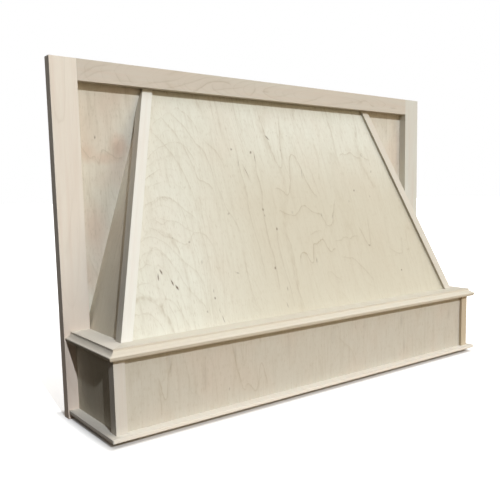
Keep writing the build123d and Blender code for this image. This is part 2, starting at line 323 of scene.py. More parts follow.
def facing(tree, direction, low, high):
    """1 where the surface faces a direction or its opposite, and 0 where it is side on."""
    where = add(tree, "ShaderNodeTexCoord")
    dot = add(tree, "ShaderNodeVectorMath", (
        where.outputs["Normal"], Vector(direction).normalized()), operation="DOT_PRODUCT")
    size = add(tree, "ShaderNodeMath", (dot.outputs["Value"],), operation="ABSOLUTE")
    return add(tree, "ShaderNodeMapRange", (size, low, high))


def corner_drift(tree, place, across, along):
    """A slow change towards one corner of a board, from 0 to 1, between the given mm."""
    parts = add(tree, "ShaderNodeSeparateXYZ", (place,))
    shares = [add(tree, "ShaderNodeMapRange", (parts.outputs[axis], low, high),
                  interpolation_type="SMOOTHSTEP")
              for axis, (low, high) in ((0, across), (2, along))]
    return add(tree, "ShaderNodeMath", shares, operation="MULTIPLY")


def drawn_line(tree, run, rise, points, strength):
    """One growth line through points in mm (run, rise): dark on it, fading slowly to its lower
    side and at once to its upper side, and 0 past its ends. The curves hold its height, how
    much of that is sideways, and its strength."""
    first, span = points[0][0], points[-1][0] - points[0][0]
    low = min(point[1] for point in points)
    tall = max(point[1] for point in points) - low + 0.01
    share = add(tree, "ShaderNodeMapRange", (run, first, first + span))
    curves = add(tree, "ShaderNodeRGBCurve", {"Color": share})
    slopes = [(b[1] - a[1]) / (b[0] - a[0]) for a, b in zip(points, points[1:])]
    around = [(a + b) / 2 for a, b in zip(slopes[:1] + slopes, slopes + slopes[-1:])]
    shares = [(point[0] - first) / span for point in points]
    drawn = ([(point[1] - low) / tall for point in points],
             [1 / (1 + slope * slope) ** 0.5 for slope in around],
             [0.0] + [strength] * (len(points) - 2) + [0.0])
    for curve, heights in zip(curves.mapping.curves, drawn):
        for at, height in list(zip(shares, heights))[1:-1]:
            curve.points.new(at, height)
        curve.points[0].location = (0, heights[0])
        curve.points[-1].location = (1, heights[-1])
    curves.mapping.update()
    parts = add(tree, "ShaderNodeSeparateColor", (curves,))
    height = add(tree, "ShaderNodeMath", (parts, tall, low), operation="MULTIPLY_ADD")
    above = add(tree, "ShaderNodeMath", (rise, height), operation="SUBTRACT")
    beside = add(tree, "ShaderNodeMath", (above, parts.outputs[1]), operation="MULTIPLY")
    side = add(tree, "ShaderNodeMapRange", (beside, -14.0, 2.0))
    faded = ramped(tree, side, (
        (0.0, 0.0), (0.5, 0.1), (0.74, 0.22), (0.82, 0.5), (0.88, 1.0), (0.93, 0.6), (1.0, 0.0)))
    return add(tree, "ShaderNodeMath", (faded, parts.outputs[2]), operation="MULTIPLY")


def drawn_lines(tree, place, level, upright):
    """All drawn growth lines of a board: those that run across it and those that run up it."""
    shaken = wavered(tree, place, (16, EVEN, 24), (4.0, 0, 7.0), 5)
    shaken = wavered(tree, shaken, (4, EVEN, 7), (2.5, 0, 5.0), 6)
    parts = add(tree, "ShaderNodeSeparateXYZ", (shaken,))
    across, along = parts.outputs[0], parts.outputs[2]
    lines = [drawn_line(tree, across, along, points, strength) for strength, *points in level]
    lines += [drawn_line(tree, along, across, points, strength) for strength, *points in upright]
    total = lines[0]
    for line in lines[1:]:
        total = add(tree, "ShaderNodeMath", (total, line), operation="MAXIMUM")
    return total


def soft_spot(tree, place, spot):
    """One streak or blush, strongest in its middle: mm across and along, width, length, tilt and
    strength."""
    across, along, width, length, tilt, strength = spot
    local = add(tree, "ShaderNodeMapping", (
        place, (across, 0, along), (0, tilt, 0), (width / 2, EVEN, length / 2)),
        vector_type="TEXTURE")
    far = add(tree, "ShaderNodeVectorMath", (local,), operation="LENGTH").outputs["Value"]
    return add(tree, "ShaderNodeMapRange", (far, 1.0, 0.3, 0.0, strength))


def wood_surface(tree, colour, fibres, edge, roughness, bump):
    """Close the tree: a dull sanded surface with fine fibres and eased edges."""
    eased = add(tree, "ShaderNodeBevel", {"Radius": edge * MM}, samples=4)
    relief = add(tree, "ShaderNodeBump", {
        "Height": fibres, "Normal": eased, "Strength": bump, "Distance": 0.1 * MM})
    shader = add(tree, "ShaderNodeBsdfPrincipled", {
        "Base Color": colour, "Roughness": roughness, "Normal": relief, "IOR": 1.45,
        "Specular IOR Level": 0.3})
    add(tree, "ShaderNodeOutputMaterial", (shader,))


# ------------------------------------ the woods
def solid_maple(name, tone, origin, along, inward, seed, line=0.5, rosy=0.3, pith=(0, 70, 0),
                lean=0.035, drift=(), drawn=(), milled=None, ease=None):
    """Sanded solid maple, planed and unfinished: pale and close-grained, so the eye gets faint
    arches where a ring meets the face, pinkish streaks and a dull silky surface. Faces turned away
    from a given direction are tinted a shade browner: a painted shade for the shade they stand in,
    while the face that looks in that direction keeps the plain tone. The ends of the boards are
    darker still. The pith is in mm from the board's corner. The drift is where the board turns
    rosy, in mm across and along. With the painted shade's direction go the cosines between which a
    face counts as turned away, and the painted shade's strength."""
    colours, grain = settings().colours, settings().grain
    rosy_tint, line_tint = colours.rosy, colours.line
    material, tree = new_material(name)
    place = grain_space(tree, origin, along, inward)
    bent = wavered(tree, place, (90, 90, 420), (16, 16, 0), seed)
    bent = wavered(tree, bent, (14, 14, 70), (1.6, 1.6, 0), seed + 3)
    rings = late_wood(tree, ring_count(tree, bent, pith, lean, grain.ring), seed)
    fade = patches(tree, place, (30, 30, 240), seed + 5, 0.35, 0.7)
    streaks = patches(tree, place, (11, 11, 260), seed + 7, 0.42, 0.72)
    clouds = patches(tree, place, (60, 60, 200), seed + 9, 0.35, 0.7)
    fibres = fibre_bundles(tree, place, seed + 11)
    lines = add(tree, "ShaderNodeMath", (rings, fade), operation="MULTIPLY")
    layers = [(rosy_tint, streaks, rosy), (rosy_tint, clouds, rosy * 0.6),
              (line_tint, lines, line), (line_tint, fibres, 0.08)]
    if drawn:
        layers.append((line_tint, drawn_lines(tree, place, *drawn), 0.9))
    # painted shade: faces turned away from the given direction are tinted towards the line colour
    if milled:
        shown, low, high, strength = milled
        rough = add(tree, "ShaderNodeMath", (1.0, facing(tree, shown, low, high)),
                    operation="SUBTRACT")
        layers.append((line_tint, rough, strength))
    end_grain = facing(tree, along, 0.6, 0.8)
    layers.append((line_tint, end_grain, 0.35))
    if drift:
        layers.append((rosy_tint, corner_drift(tree, place, *drift), 0.4))
    wood_surface(tree, layered(tree, tone, layers), fibres, ease or grain.ease, 0.62, 0.25)
    return material


def plywood_edge(tree, place, inward, colour, seed):
    """The colour with the plywood's layers showing where the surface is an edge."""
    colours, grain = settings().colours, settings().grain
    depth = add(tree, "ShaderNodeSeparateXYZ", (place,)).outputs[1]
    layer = add(tree, "ShaderNodeMath", (depth, grain.veneer * 2), operation="DIVIDE")
    step = add(tree, "ShaderNodeMath", (layer,), operation="FRACT")
    dark = add(tree, "ShaderNodeMapRange", (step, 0.47, 0.53))
    grit = patches(tree, place, (0.8, 0.8, 0.8), seed, 0.35, 0.65)
    return layered(tree, colours.core_pale, (
        (colours.core_dark, dark, 1.0), (colours.core_dark, grit, 0.25),
        (colour, facing(tree, inward, 0.5, 0.6), 1.0)))


# The veneer's small marks: size in mm across, deep and along, seed, the noise where they begin and
# where they are full, and strength.
VENEER_MARKS = (
    ((6, EVEN, 90), 9, 0.5, 0.8, 0.26),  # streaks
    ((14, EVEN, 40), 10, 0.4, 0.8, 0.12),  # mottle
    ((1.7, EVEN, 11), 15, 0.58, 0.72, 0.4),  # dashes
    ((6, EVEN, 11), 16, 0.56, 0.74, 0.22),  # smudges
)


def rotary_maple(name, tone, origin, along, inward, seed, figure, line=0.3, warm=0.25,
                 rosy=0.25, spots=(), blushes=(), drawn=(), drift=()):
    """Maple plywood with a rotary-cut face, sanded and unfinished: the knife follows the rings,
    so the eye gets wide wavering contours, ragged peaks and a few dark mineral streaks."""
    colours, grain = settings().colours, settings().grain
    warm_tint, rosy_tint, line_tint = colours.warm, colours.rosy, colours.line
    material, tree = new_material(name)
    place = grain_space(tree, origin, along, inward)
    rings = late_wood(tree, figure(tree, place, seed), seed)
    bent = wavered(tree, place, (12, EVEN, 30), (8, 0, 14), seed + 12)
    fade = patches(tree, place, (45, EVEN, 80), seed + 5, 0.3, 0.6)
    breaks = patches(tree, place, (6, EVEN, 16), seed + 6, 0.3, 0.6)
    clouds = patches(tree, place, (160, EVEN, 260), seed + 7, 0.35, 0.65)
    blush = patches(tree, place, (90, EVEN, 120), seed + 8, 0.45, 0.7)
    fibres = fibre_bundles(tree, place, seed + 11)
    lines = add(tree, "ShaderNodeMath", (rings, fade), operation="MULTIPLY")
    broken = add(tree, "ShaderNodeMath", (lines, breaks), operation="MULTIPLY")
    layers = [(warm_tint, clouds, warm), (rosy_tint, blush, rosy)]
    layers += [(rosy_tint, soft_spot(tree, bent, spot), 1.0) for spot in blushes]
    layers += [(line_tint, patches(tree, place, size, seed + key, low, high), strength)
               for size, key, low, high, strength in VENEER_MARKS]
    layers += [(line_tint, broken, line), (line_tint, fibres, 0.09)]
    if drift:
        layers.append((warm_tint, corner_drift(tree, place, *drift), 0.6))
    if drawn:
        hairs = patches(tree, place, (1.6, EVEN, 15), seed + 13, 0.35, 0.65)
        worn = add(tree, "ShaderNodeMath", (breaks, hairs), operation="ADD")
        worn = add(tree, "ShaderNodeMapRange", (worn, 0.0, 2.0, 0.3, 1.3))
        own = add(tree, "ShaderNodeMath", (worn, drawn_lines(tree, place, *drawn)),
                  operation="MULTIPLY")
        layers.append((line_tint, own, 1.0))
    ragged = wavered(tree, place, (2.0, EVEN, 4.0), (1.6, 0, 3.0), seed + 14)
    layers += [(colours.mineral, soft_spot(tree, ragged, spot), 1.0) for spot in spots]
    colour = plywood_edge(tree, place, inward, layered(tree, tone, layers), seed)
    wood_surface(tree, colour, fibres, grain.crisp, 0.6, 0.2)
    return material


def softwood(name, tone, origin, along, inward, seed):
    """Planed spruce for cleats that nobody sees: yellow, with strong even growth lines."""
    colours, grain = settings().colours, settings().grain
    material, tree = new_material(name)
    place = grain_space(tree, origin, along, inward)
    bent = wavered(tree, place, (40, 40, 300), (8, 8, 0), seed)
    rings = late_wood(tree, ring_count(tree, bent, (0, 45, 0), 0.04, 2.6), seed)
    fibres = fibre_bundles(tree, place, seed + 3)
    colour = layered(tree, tone, (
        (colours.softwood_line, rings, 0.7), (colours.softwood_line, fibres, 0.2)))
    wood_surface(tree, colour, fibres, grain.crisp, 0.68, 0.4)
    return material


def zinc_plate(name):
    """Zinc-plated steel, barrel-plated and cleared: pale grey with a soft uneven shine."""
    zinc = settings().colours.zinc
    material, tree = new_material(name)
    where = add(tree, "ShaderNodeTexCoord")
    bloom = add(tree, "ShaderNodeTexNoise", {
        "Vector": where.outputs["Object"], "Scale": 1 / (1.5 * MM), "Detail": 3.0})
    rough = add(tree, "ShaderNodeMapRange", (bloom, 0.0, 1.0, 0.28, 0.46))
    tone = layered(tree, zinc, (([part * 0.8 for part in zinc], bloom, 1.0),))
    shader = add(tree, "ShaderNodeBsdfPrincipled", {
        "Base Color": tone, "Metallic": 1.0, "Roughness": rough})
    add(tree, "ShaderNodeOutputMaterial", (shader,))
    return material


# ------------------------------------ figure placed one by one
# The rail's clearest growth lines: strength, then mm along the rail and mm above its foot, as
# minus figures.
RAIL_UPRIGHT = (
    (0.50, (220, -1), (240, -12), (254, -20), (274, -25), (290, -26), (308, -21)),
    (0.30, (158, -1), (190, -9), (216, -18), (244, -28), (266, -34)),
    (0.30, (4, -6), (14, -16), (28, -24), (42, -29), (66, -33)),
    (0.25, (8, -1), (24, -12), (44, -20), (68, -24)),
    (0.30, (102, -2), (140, -10), (170, -16), (206, -27)),
    (0.30, (254, -5), (284, -12), (314, -16), (346, -25)),
    (0.35, (350, -5), (358, -11), (364, -18), (366, -27)),
    (0.40, (378, -20), (390, -16), (402, -17)),
    (0.30, (488, -3), (510, -8), (530, -14), (556, -23)),
    (0.25, (552, -3), (594, -8), (634, -14), (676, -21)),
    (0.50, (696, -18), (706, -12), (714, -12)),
    (0.45, (766, -14), (780, -11), (790, -12)),
    (0.35, (652, -11), (666, -18), (682, -21), (692, -16)),
    (0.20, (394, -6), (434, -12), (474, -24)),
    (0.25, (54, -3), (84, -7), (120, -6)),
)

# The left recess panel: growth lines that run across and up, mineral streaks, and pink blushes
# (both as mm across from the low corner, mm up, width, length, tilt, strength).
RECESS_LEVEL = (
    (0.40, (25, 317), (35, 302), (43, 295), (49, 297), (54, 290), (58, 287), (61, 302), (66, 309),
     (75, 305), (84, 300), (94, 296), (105, 302)),
    (0.25, (44, 407), (47, 385), (50, 375), (53, 383), (56, 409)),
    (0.20, (89, 311), (95, 323), (99, 329), (109, 321)),
)
RECESS_UPRIGHT = (
    (0.25, (75, 50), (93, 42), (115, 34), (137, 29)),
    (0.20, (191, 31), (231, 36), (271, 33)),
    (0.15, (329, 98), (361, 100), (401, 99)),
)
RECESS_SPOTS = (
    (52, 331, 3, 8, 0.1, 0.7), (89, 311, 20, 34, 0.3, 0.14), (33, 27, 8, 44, -0.1, 0.25),
)
RECESS_BLUSHES = (
    (35, 303, 44, 40, 0, 0.4), (69, 295, 56, 26, 0, 0.42), (95, 317, 44, 56, 0.2, 0.6),
    (43, 173, 60, 110, 0, 0.45), (27, 91, 30, 90, 0, 0.3), (79, 401, 60, 60, 0, 0.2),
)

# The front panel's clearest growth lines that run across: strength, then points in mm across
# from the middle and mm up the slope.
FRONT_LEVEL = (
    (0.50, (-36, 426), (-32, 388), (-28, 368), (-23, 338), (-18, 316), (-9, 302), (-3, 310), (1, 330),
     (5, 356), (12, 386), (19, 426)),
    (0.55, (-36, 256), (-26, 256), (-17, 250), (-8, 242), (-1, 250), (6, 265), (13, 293), (19, 316),
     (25, 327), (29, 331), (35, 327), (41, 312), (47, 290), (54, 266), (63, 246), (71, 236)),
    (0.55, (-40, 210), (-28, 205), (-15, 199), (-3, 197), (6, 201), (15, 210), (28, 218), (35, 215),
     (44, 207), (56, 201), (67, 197), (74, 186), (84, 172), (96, 178), (103, 193), (111, 210),
     (119, 228)),
    (0.75, (-16, 92), (-10, 112), (-4, 118), (3, 117), (9, 106), (15, 96), (21, 105), (26, 122), (31, 134),
     (40, 135), (48, 140), (56, 143), (63, 134), (68, 120), (74, 114), (80, 120), (88, 121)),
    (0.40, (26, 156), (40, 159), (58, 163)),
    (0.35, (48, 73), (60, 71), (71, 60), (85, 52)),
    (0.40, (90, 138), (108, 139), (123, 145), (137, 141), (150, 145), (168, 144)),
    (0.40, (98, 101), (118, 99), (134, 94), (144, 82), (155, 71), (165, 58), (178, 44)),
    (0.45, (166, 326), (177, 338), (188, 335), (202, 340), (214, 332), (228, 329), (237, 340), (245, 328),
     (262, 324)),
    (0.50, (170, 166), (177, 150), (184, 130), (191, 121), (196, 132), (200, 156), (206, 186)),
    (0.35, (248, 118), (264, 103), (286, 97), (294, 114), (301, 132), (310, 103), (318, 116)),
    (0.32, (-316, 224), (-302, 234), (-288, 240), (-274, 237), (-260, 225), (-249, 214), (-238, 204),
     (-228, 188)),
    (0.30, (-316, 206), (-308, 194), (-301, 191), (-291, 196), (-276, 196), (-264, 189), (-254, 180),
     (-242, 174)),
    (0.30, (-330, 186), (-316, 181), (-302, 169), (-288, 164), (-274, 157), (-264, 152), (-255, 157),
     (-248, 167), (-236, 172), (-222, 168), (-213, 155), (-205, 134)),
    (0.26, (-356, 155), (-342, 165), (-328, 169), (-312, 163), (-298, 151), (-286, 136), (-274, 121),
     (-262, 110), (-254, 101), (-248, 86), (-243, 68)),
    (0.22, (-346, 116), (-336, 142), (-324, 149), (-312, 138), (-299, 120), (-288, 98), (-274, 68),
     (-262, 53), (-252, 38), (-244, 20)),
    (0.24, (-372, 78), (-354, 62), (-342, 52), (-333, 48), (-324, 59), (-314, 56), (-304, 40), (-295, 20),
     (-287, 2)),
    (0.36, (-286, 364), (-272, 350), (-261, 335), (-251, 317), (-242, 298), (-235, 276), (-229, 250)),
    (0.38, (-264, 398), (-244, 372), (-231, 350), (-222, 324), (-215, 298), (-208, 274), (-197, 270),
     (-186, 260), (-179, 238)),
    (0.38, (-242, 406), (-222, 386), (-209, 366), (-198, 346), (-186, 332), (-179, 308), (-173, 266)),
    (0.34, (-186, 358), (-170, 345), (-158, 332), (-150, 316), (-144, 286)),
    (0.30, (-174, 270), (-166, 236), (-160, 210), (-152, 196), (-146, 178), (-142, 144)),
)

# Those that run up: strength, then points in mm up the slope and mm across from the middle.
FRONT_UPRIGHT = (
    (0.45, (48, -82), (88, -79), (118, -78), (148, -81), (183, -80), (210, -78), (233, -75), (258, -71),
     (288, -73), (318, -69), (338, -70)),
    (0.35, (68, -110), (118, -107), (163, -109), (183, -111), (213, -112), (248, -108), (278, -110),
     (308, -112), (326, -108)),
    (0.35, (12, -59), (48, -55), (83, -58), (118, -60), (153, -58), (176, -55)),
    (0.35, (2, -31), (23, -34), (48, -37), (73, -38), (98, -32), (123, -29), (148, -32), (170, -38)),
    (0.30, (82, -222), (118, -225), (148, -225), (172, -228), (193, -232)),
    (0.30, (4, -141), (48, -146), (88, -148), (118, -146), (150, -144)),
    (0.50, (266, -91), (290, -98), (308, -104)),
)

# Its mineral streaks: mm across from the middle, mm up the slope, width, length, tilt, strength.
FRONT_SPOTS = (
    (-329, 98, 3.6, 16, 0.1, 0.75), (-322, 107, 4.4, 13, -0.3, 0.85),
    (-305, 86, 3.6, 14, -0.25, 0.9), (-298, 77, 4.6, 12, -0.45, 0.95), (-228, 63, 2.4, 9, 0.1, 0.4),
    (-228, 50, 4.4, 7, 0, 0.7), (-220, 10, 2.6, 18, -0.2, 0.6), (-224, 26, 2, 10, -0.2, 0.35),
    (-26, 366, 5, 17, -0.7, 0.6), (-121, 337, 6, 7, 0.7, 0.55), (-76, 332, 6, 9, 0.5, 0.7),
    (-69, 321, 2.4, 22, 0.1, 0.5), (-112, 308, 2, 20, 0.3, 0.4), (-97, 290, 2.2, 28, -0.35, 0.45),
    (-78, 212, 5, 9, 0, 0.6), (-77, 200, 3.4, 7, 0, 0.4), (-55, 171, 6, 8, 0.3, 0.6),
    (-81, 93, 5.5, 8, 0.2, 0.7), (-63, 50, 3, 11, 0.1, 0.4), (-72, 18, 3, 15, -0.1, 0.4),
    (44, 288, 2, 26, 0.15, 0.5), (185, 250, 4.4, 7, 0.4, 0.65), (272, 58, 6, 5.5, -0.4, 0.65),
    (255, 296, 4, 10, 0.6, 0.35), (161, 225, 3.6, 7, 0.2, 0.25), (230, 235, 5, 7, 0, 0.2),
    (237, 334, 4, 13, -0.6, 0.3), (2, 340, 4, 7, 0, 0.25), (27, 373, 4, 6, 0, 0.2),
    (-169, 91, 8, 4, 0.3, 0.4), (-160, 206, 5, 8, 0.8, 0.35), (-239, 118, 3.4, 9, 0.2, 0.35),
    (-249, 28, 4, 6, 0, 0.4), (-256, 156, 5, 5, 0.4, 0.45), (-287, 165, 4, 4, 0, 0.3),
    (71, 196, 5, 12, -0.1, 0.3), (101, 192, 4, 14, 0.3, 0.25), (190, 122, 10, 6, 0, 0.3),
    (-6, 204, 6, 9, 0, 0.2), (28, 100, 5, 14, 0.2, 0.35),
)

# The apron's front: growth lines that run across and up, and soft streaks.
APRON_LEVEL = (
    (0.50, (57, 76), (62, 60), (67, 42), (70, 38), (73, 46), (75, 74), (80, 84), (84, 110)),
    (0.50, (200, 110), (206, 84), (212, 58), (219, 36), (226, 21), (232, 31), (238, 27), (244, 20),
     (250, 14), (256, 30), (264, 62), (270, 44), (278, 18)),
    (0.35, (218, 106), (222, 80), (225, 66), (229, 82), (233, 110)),
    (0.25, (448, 86), (464, 72), (477, 60), (492, 46), (500, 30), (506, 10)),
    (0.20, (620, 60), (635, 82), (643, 100), (652, 80), (660, 48)),
)
APRON_UPRIGHT = (
    (0.35, (78, 23), (94, 25), (108, 23)),
    (0.45, (4, 61), (28, 62), (50, 60), (76, 58)),
    (0.25, (36, 113), (60, 114), (80, 110), (106, 107)),
    (0.20, (16, 123), (44, 126), (70, 122)),
    (0.25, (34, 143), (64, 146), (90, 144)),
    (0.20, (38, 368), (70, 371), (100, 369)),
    (0.20, (28, 597), (70, 595), (108, 593)),
    (0.30, (68, 807), (84, 810), (100, 802)),
)
APRON_SPOTS = (
    (80, 94, 7, 44, -0.1, 0.14), (145, 62, 16, 70, 0, 0.08), (327, 86, 20, 60, 0.1, 0.08),
    (440, 90, 22, 60, 0, 0.06), (528, 92, 12, 40, 0, 0.08), (643, 88, 12, 36, 0, 0.16),
    (652, 32, 10, 40, 0, 0.12), (193, 29, 3, 8, 0.2, 0.3), (810, 80, 20, 34, 0.2, 0.08),
    (207, 90, 8, 34, -0.1, 0.12),
)


# ------------------------------------ giving the boards their wood
def finish(node, wood, name, tone, along, inward, seed, origin=None, **look):
    """Make a CAD node's own wood, laid out from its low corner, and give it to the node."""
    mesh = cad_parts[node].data
    mesh.materials.clear()
    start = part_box(node)[0] if origin is None else origin
    mesh.materials.append(wood(name, tone, start, along, inward, seed, **look))


def mirrored(vector, side):
    """A direction on the right, or its mirror image on the left."""
    return Vector((vector[0] * side, vector[1], vector[2]))


class HOOD_OT_frame(bpy.types.Operator):
    """Finish the stiles and the rail"""
    bl_idname = "hood.frame"
    bl_label = "Stiles and rail"

    def execute(self, context):
        colours = settings().colours
        tones = (colours.frame_maple, colours.far_frame_maple)
        for seed, tone, (side, sign) in zip((10, 30), tones, SIDES):
            finish(f"stile_{side}", solid_maple, f"solid maple, {side} stile", tone, UP, BACK, seed,
                   line=0.2, rosy=0.2, pith=(12, 90, 0), drift=((-1, 0), (330, 60)))
        # painted shade: the rail's underside, top and ends are tinted browner than its front
        finish("top_rail", solid_maple, "solid maple, rail", colours.rail_maple, ACROSS, BACK, 57,
               line=0.6, rosy=0.2, pith=(-18, 40, 300), lean=0.12, drawn=((), RAIL_UPRIGHT),
               milled=(BACK, 0.5, 0.7, 0.25))
        return {"FINISHED"}


def recess_figure(tree, place, seed):
    """Long pinkish loops that close downwards."""
    bent = wavered(tree, place, (30, EVEN, 60), (7, 0, 14), seed + 2)
    return loop_count(tree, bent, (70, EVEN, 330), 9.0, seed + 4)


class HOOD_OT_recess_panels(bpy.types.Operator):
    """Finish the thin panels behind the frame"""
    bl_idname = "hood.recess_panels"
    bl_label = "Recess panels"

    def execute(self, context):
        seen = {"spots": RECESS_SPOTS, "blushes": RECESS_BLUSHES,
                "drawn": (RECESS_LEVEL, RECESS_UPRIGHT)}
        for seed, own, (side, sign) in zip((70, 101), (seen, {}), SIDES):
            finish(f"recess_panel_{side}", rotary_maple, f"maple plywood, {side} recess",
                   settings().colours.recess_veneer, UP, BACK, seed, figure=recess_figure,
                   rosy=0.4, **own)
        return {"FINISHED"}


def front_figure(tree, place, seed):
    """Steep arches on the left whose heart leans, and wandering loops on the right."""
    bent = wavered(tree, place, (75, EVEN, 110), (22, 0, 40), seed + 1)
    bent = wavered(tree, bent, (20, EVEN, 34), (8, 0, 20), seed + 2)
    bent = wavered(tree, bent, (5, EVEN, 12), (1.5, 0, 5), seed + 3)
    parts = add(tree, "ShaderNodeSeparateXYZ", (bent,))
    across, along = parts.outputs[0], parts.outputs[2]
    heart = add(tree, "ShaderNodeMath", (along, 0.4, -385.0), operation="MULTIPLY_ADD")
    away = add(tree, "ShaderNodeMath", (across, heart), operation="SUBTRACT")
    drop = add(tree, "ShaderNodeMath", (away, away), operation="MULTIPLY")
    reach = add(tree, "ShaderNodeMath", (drop, 0.016, along), operation="MULTIPLY_ADD")
    arches = add(tree, "ShaderNodeMath", (reach, 1 / 26), operation="MULTIPLY")
    loops = loop_count(tree, bent, (95, EVEN, 240), 6.0, seed + 4)
    loops = add(tree, "ShaderNodeMath", (across, 1 / 40, loops), operation="MULTIPLY_ADD")
    share = add(tree, "ShaderNodeMapRange", (across, -150.0, -50.0))
    return add(tree, "ShaderNodeMix", {0: share, 2: arches, 3: loops})


def side_figure(tree, place, seed):
    """Long straight lines that wander a little."""
    bent = wavered(tree, place, (24, EVEN, 80), (5, 0, 12), seed + 2)
    return loop_count(tree, bent, (60, EVEN, 600), 12.0, seed + 4)


class HOOD_OT_panels(bpy.types.Operator):
    """Finish the slanted front and side panels"""
    bl_idname = "hood.panels"
    bl_label = "Hood panels"

    def execute(self, context):
        colours, slopes = settings().colours, settings().slopes
        uphill = Vector((0, sin(slopes.front), cos(slopes.front)))
        inward = Vector((0, cos(slopes.front), -sin(slopes.front)))
        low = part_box("hood_front_panel")[0]
        finish("hood_front_panel", rotary_maple, "maple plywood, front panel",
               colours.panel_veneer, uphill, inward, 4, origin=Vector((0, low.y, low.z)),
               figure=front_figure, line=0.55, warm=0.2, rosy=0.12, spots=FRONT_SPOTS,
               drawn=(FRONT_LEVEL, FRONT_UPRIGHT), drift=((-340, -60), (420, 200)))
        for seed, drift, (side, sign) in zip((120, 137), (((1, 0), (330, 60)), ()), SIDES):
            up = mirrored((-sin(slopes.side), 0, cos(slopes.side)), sign)
            into = mirrored((-cos(slopes.side), 0, -sin(slopes.side)), sign)
            finish(f"hood_side_{side}", rotary_maple, f"maple plywood, {side} side",
                   colours.side_veneer, up, into, seed, figure=side_figure, line=0.4, drift=drift)
        return {"FINISHED"}


class HOOD_OT_corner_strips(bpy.types.Operator):
    """Finish the solid strips at the hood's and the apron's corners"""
    bl_idname = "hood.corner_strips"
    bl_label = "Corner strips"

    def execute(self, context):
        colours, slopes = settings().colours, settings().slopes
        tones = ((colours.strip_maple, colours.corner_maple),
                 (colours.far_strip_maple, colours.far_corner_maple))
        for step, (high, low), (side, sign) in zip((0, 9), tones, SIDES):
            uphill = mirrored((-tan(slopes.side), tan(slopes.front), 1), sign)
            # painted shade: the hood strips' sides and ends are tinted browner than their fronts
            finish(f"hood_corner_strip_{side}", solid_maple, f"solid maple, {side} hood strip",
                   high, uphill, BACK, 31 + step, line=0.25, rosy=0.15, pith=(60, 60, 0),
                   lean=0.01, milled=(BACK, 0.5, 0.7, 0.4))
            # painted shade: the apron strips' sides and ends are tinted browner, more lightly
            finish(f"apron_corner_strip_{side}", solid_maple, f"solid maple, {side} apron strip",
                   low, UP, BACK, 37 + step, line=0.3, rosy=0.2, pith=(60, 60, 0), lean=0.01,
                   milled=(BACK, 0.5, 0.7, 0.2))
        return {"FINISHED"}


class HOOD_OT_mantle(bpy.types.Operator):
    """Finish the moulded mantle and its returns"""
    bl_idname = "hood.mantle"
    bl_label = "Mantle"

    def execute(self, context):
        colours = settings().colours
        look = {"line": 0.2, "rosy": 0.12, "pith": (0, -60, 0)}
        # painted shade: the mantle's front faces and moulded edge are tinted browner; its top and
        # underside are not
        finish("mantle_front", solid_maple, "solid maple, mantle", colours.mantle_maple, ACROSS,
               -UP, 81, milled=(UP, 0.85, 0.97, 0.22), **look)
        # the returns' outer faces get the same painted shade, a little stronger
        for seed, (side, sign) in zip((87, 96), SIDES):
            finish(f"mantle_return_{side}", solid_maple, f"solid maple, {side} mantle return",
                   colours.return_maple, BACK, -UP, seed, milled=(UP, 0.85, 0.97, 0.3), **look)
        return {"FINISHED"}


def apron_figure(tree, place, seed):
    """Upright loops that close downwards."""
    bent = wavered(tree, place, (22, EVEN, 60), (6, 0, 16), seed + 2)
    return loop_count(tree, bent, (64, EVEN, 260), 9.0, seed + 4)


class HOOD_OT_apron(bpy.types.Operator):
    """Finish the boards of the apron box"""
    bl_idname = "hood.apron"
    bl_label = "Apron boards"

    def execute(self, context):
        colours = settings().colours
        look = {"figure": apron_figure, "warm": 0.1, "rosy": 0.2}
        finish("apron_front_board", rotary_maple, "maple plywood, apron front",
               colours.apron_veneer, UP, BACK, 141, spots=APRON_SPOTS,
               drawn=(APRON_LEVEL, APRON_UPRIGHT), **look)
        for seed, (side, sign) in zip((151, 158), SIDES):
            low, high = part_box(f"apron_side_{side}")
            face = Vector((high.x if sign > 0 else low.x, low.y, low.z))
            # the ends take the darker end veneer colour, a painted shade
            finish(f"apron_side_{side}", rotary_maple, f"maple plywood, {side} apron end",
                   colours.end_veneer, UP, -ACROSS * sign, seed, origin=face, **look)
        return {"FINISHED"}


class HOOD_OT_ledge(bpy.types.Operator):
    """Finish the thin ledge under the apron box"""
    bl_idname = "hood.ledge"
    bl_label = "Ledge"

    def execute(self, context):
        colours = settings().colours
        look = {"line": 0.3, "rosy": 0.1, "pith": (0, -50, 0), "ease": settings().grain.ledge_ease}
        finish("ledge_front", solid_maple, "solid maple, ledge", colours.ledge_maple, ACROSS, UP,
               201, **look)
        for seed, (side, sign) in zip((207, 216), SIDES):
            finish(f"ledge_return_{side}", solid_maple, f"solid maple, {side} ledge return",
                   colours.return_maple, BACK, UP, seed, **look)
        return {"FINISHED"}


class HOOD_OT_cleats(bpy.types.Operator):
    """Finish the nailer and the hidden cleats"""
    bl_idname = "hood.cleats"
    bl_label = "Nailer and cleats"

    def execute(self, context):
        colours, slopes = settings().colours, settings().slopes
        runs = {"top_nailer": ACROSS}
        for group in ("foot_cleat", "apron_cleat", "liner_cleat"):
            runs.update({f"{group}_front": ACROSS, f"{group}_left": BACK, f"{group}_right": BACK})
        for side, sign in SIDES:
            runs[f"recess_cleat_{side}"] = mirrored((-sin(slopes.side), 0, cos(slopes.side)), sign)
        for step, (node, along) in enumerate(runs.items()):
            finish(node, softwood, f"spruce, {node}", colours.softwood_pale, along,
                   BACK if abs(along.y) < 0.5 else UP, 300 + step * 5)
        return {"FINISHED"}


# ------------------------------------ screws
# A pan-head screw in mm: rims of its head (radius, height), socket, shank and thread radii, pitch,
# length of its point, bare shank under the head, and half the thread's width at its foot. Then how
# many points lie around its head and in one turn of its thread.
HEAD_RIMS = ((4.4, 0.0), (4.4, 0.5), (4.092, 1.3), (3.432, 1.95), (2.64, 2.4))
HEAD_TOP, SOCKET_DEPTH, SOCKET_HALF = 2.4, 1.5, 1.3
ROOT, CREST, PITCH, POINT, BARE, FOOT = 1.55, 2.05, 1.6, 5.0, 4.0, 0.35
AROUND, TURN = 24, 12


